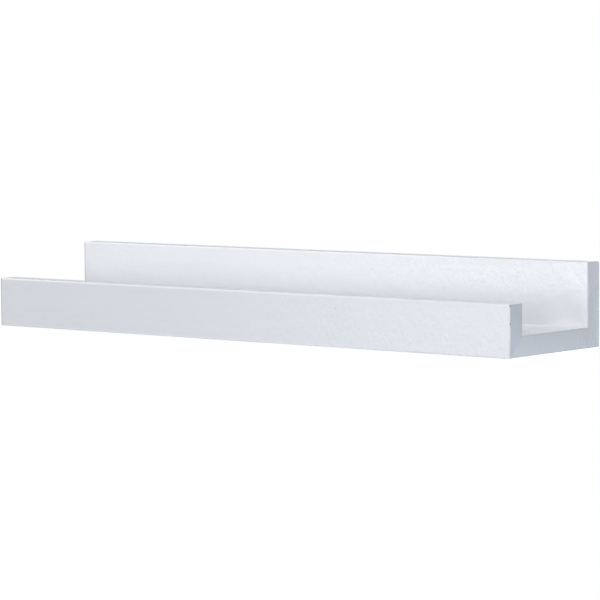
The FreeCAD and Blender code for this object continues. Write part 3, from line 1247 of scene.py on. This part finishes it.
    def smooth(self, mesh: bpy.types.Mesh) -> None:
        """Shades the arrises round and every cut sharp.

        Args:
            mesh: a board's mesh.
        """
        work = bmesh.new()
        work.from_mesh(mesh)
        bmesh.ops.remove_doubles(work, verts=work.verts, dist=self.weld)
        for face in work.faces:
            face.smooth = True
        sharp = math.radians(self.sharp_angle)
        for edge in work.edges:
            edge.smooth = edge.is_manifold and edge.calc_face_angle(0.0) < sharp
        work.to_mesh(mesh)
        work.free()

    def build(self) -> list[bpy.types.Object]:
        """Makes the three boards.

        Returns:
            Their pieces.
        """
        made = []
        for board, mesh in self.saw().items():
            self.smooth(mesh)
            board_piece = piece(f"lacquered_{board.value}", mesh, "white_lacquer", board.value)
            weighted = board_piece.modifiers.new("weighted_normals", "WEIGHTED_NORMAL")
            weighted.keep_sharp = True
            made.append(board_piece)
        return made


# The hardware ----------------------------


@dataclass(frozen=True)
class Hardware:
    """Plates, screws and biscuits, which keep their shapes and get their finishes."""

    finishes: tuple[tuple[str, Finish], ...] = (
        ("keyhole_plate", ZINC),
        ("screw", YELLOW_ZINC),
        ("biscuit", BEECH),
    )

    def dress(self) -> list[bpy.types.Object]:
        """Gives each node its finish.

        Returns:
            The dressed nodes.
        """
        dressed = []
        for name, node in sorted(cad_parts.items()):
            for word, finish in self.finishes:
                if word in name:
                    node.data.materials.clear()
                    node.data.materials.append(finish.material())
                    dressed.append(node)
                    break
        return dressed


# The studio ------------------------------


@dataclass(frozen=True)
class Lamp:
    """A square soft box that looks at the shelf. Its azimuth counts from the front towards the right."""

    name: str
    azimuth: float
    elevation: float
    watts: float
    colour: Colour = (1.0, 1.0, 1.0)
    size: float = 0.35
    reach: float = 1.6
    aim: Place = (0.0, 0.0, -0.02)

    def hang(self) -> bpy.types.Object:
        """Puts the lamp in the scene.

        Returns:
            The lamp.
        """
        around, above = math.radians(self.azimuth), math.radians(self.elevation)
        level = Vector((math.sin(around), -math.cos(around), 0.0)) * math.cos(above)
        place = (level + Vector((0.0, 0.0, math.sin(above)))) * self.reach
        data = bpy.data.lights.new(self.name, "AREA")
        data.shape = "SQUARE"
        data.size = self.size
        data.energy = self.watts
        data.color = self.colour
        lamp = bpy.data.objects.new(self.name, data)
        lamp.location = place
        lamp.rotation_mode = "QUATERNION"
        lamp.rotation_quaternion = (Vector(self.aim) - place).to_track_quat("-Z", "Y")
        lamp.visible_camera = False
        bpy.context.scene.collection.objects.link(lamp)
        return lamp


@dataclass(frozen=True)
class Viewpoint:
    """The camera."""

    place: Place = (1.7689, -2.2475, 0.19404)
    azimuth: float = 38.8125
    elevation: float = 4.3303
    roll: float = 0.3437
    lens: float = 179.51
    sensor: float = 36.0
    clip: Span = (0.05, 100.0)

    def stand(self) -> bpy.types.Object:
        """Puts the camera in the scene.

        Returns:
            The camera.
        """
        data = bpy.data.cameras.new("camera")
        data.lens = self.lens
        data.sensor_width = self.sensor
        data.clip_start, data.clip_end = self.clip
        around, above, lean = (math.radians(turn) for turn in (self.azimuth, self.elevation, self.roll))
        level = Vector((math.cos(around), math.sin(around), 0.0))
        ahead = Vector((-math.sin(around), math.cos(around), 0.0)) * math.cos(above)
        ahead.z = -math.sin(above)
        upright = level.cross(ahead)
        right = level * math.cos(lean) - upright * math.sin(lean)
        up = upright * math.cos(lean) + level * math.sin(lean)
        turned = Matrix((right, up, -ahead)).transposed().to_4x4()
        camera = bpy.data.objects.new("camera", data)
        camera.matrix_world = Matrix.Translation(self.place) @ turned
        bpy.context.scene.collection.objects.link(camera)
        bpy.context.scene.camera = camera
        return camera


@dataclass(frozen=True)
class Studio:
    """A white room with a pale floor and soft lamps."""

    ambient: Colour = (0.068, 0.1, 0.15)
    white: Colour = (1.0, 1.0, 1.0)
    floor_colour: Colour = (0.8, 0.8, 0.8)
    floor_drop: float = 1.4
    floor_size: float = 12.0
    floor_glow: float = 1.88
    floor_glow_share: float = 0.5
    floor_fade: Span = (1.2, 4.0)
    lamps: tuple[Lamp, ...] = (
        Lamp("front", 10.0, 0.0, 5.1),
        Lamp("front_left", -30.0, -8.0, 0.9),
        Lamp("front_right", 30.0, 5.0, 4.9),
        Lamp("right", 60.0, 45.0, 10.8),
        Lamp("left", -65.0, 25.0, 9.4),
        Lamp("below", 70.0, -50.0, 5.9, (0.88, 1.0, 1.08)),
        Lamp("rear", 190.0, -36.0, 14.0),
    )

    def looking(self, shader: Shader) -> Wire:
        """A mask of the rays that show the background: those of the camera, of gloss and of glass.

        Args:
            shader: the tree that it is worked out in.

        Returns:
            The mask.
        """
        names = ("Is Camera Ray", "Is Glossy Ray", "Is Transmission Ray")
        camera, gloss, glass = (shader.node("ShaderNodeLightPath", output=name) for name in names)
        return camera | gloss | glass

    def world(self) -> None:
        """Lights from all round, and shows white where nothing stands."""
        world = bpy.data.worlds.new("studio")
        world.use_nodes = True
        shader = Shader(world.node_tree)
        light = shader.node("ShaderNodeBackground", {}, {"Color": (*self.ambient, 1.0)})
        shown = shader.node("ShaderNodeBackground", {}, {"Color": (*self.white, 1.0)})
        shader.output(shader.blend(self.looking(shader), light, shown), "ShaderNodeOutputWorld")
        bpy.context.scene.world = world

    def floor_material(self) -> bpy.types.Material:
        """The floor's look: matt as light meets it, white as it is seen, and gone beyond its fade.

        Returns:
            The material.
        """
        material = bpy.data.materials.new("studio_floor")
        material.use_nodes = True
        shader = Shader(material.node_tree)
        matt = shader.node("ShaderNodeBsdfDiffuse", {}, {"Color": (*self.floor_colour, 1.0)})
        values = {"Color": (*self.white, 1.0), "Strength": self.floor_glow}
        glow = shader.node("ShaderNodeEmission", {}, values)
        looking = self.looking(shader)
        top = shader.blend(looking * self.floor_glow_share, matt, glow)
        away = shader.length(shader.at).step(*self.floor_fade)
        hidden = looking * away | shader.node("ShaderNodeNewGeometry", output="Backfacing")
        shader.output(shader.blend(hidden, top, shader.node("ShaderNodeBsdfTransparent")))
        return material

    def floor(self) -> bpy.types.Object:
        """Lays the floor. It fades out to all sides, and seen from below it isn't there.

        Returns:
            The floor.
        """
        mesh = bmesh.new()
        bmesh.ops.create_grid(mesh, x_segments=1, y_segments=1, size=self.floor_size / 2)
        data = bpy.data.meshes.new("floor")
        mesh.to_mesh(data)
        mesh.free()
        data.materials.append(self.floor_material())
        floor = bpy.data.objects.new("floor", data)
        floor.location.z = -self.floor_drop
        bpy.context.scene.collection.objects.link(floor)
        return floor

    def build(self) -> None:
        """Sets up the room."""
        self.world()
        self.floor()
        for lamp in self.lamps:
            lamp.hang()
        bpy.context.scene.view_settings.view_transform = "Standard"


def main() -> None:
    """Builds the shelf and its studio."""
    logging.basicConfig(level=logging.INFO, format="%(message)s")
    Viewpoint().stand()
    for made in Boards().build():
        LOG.info("%s: %d faces", made.name, len(made.data.polygons))
    for made in Hardware().dress():
        LOG.info("%s: dressed", made.name)
    Studio().build()


if __name__ == "__main__":
    main()
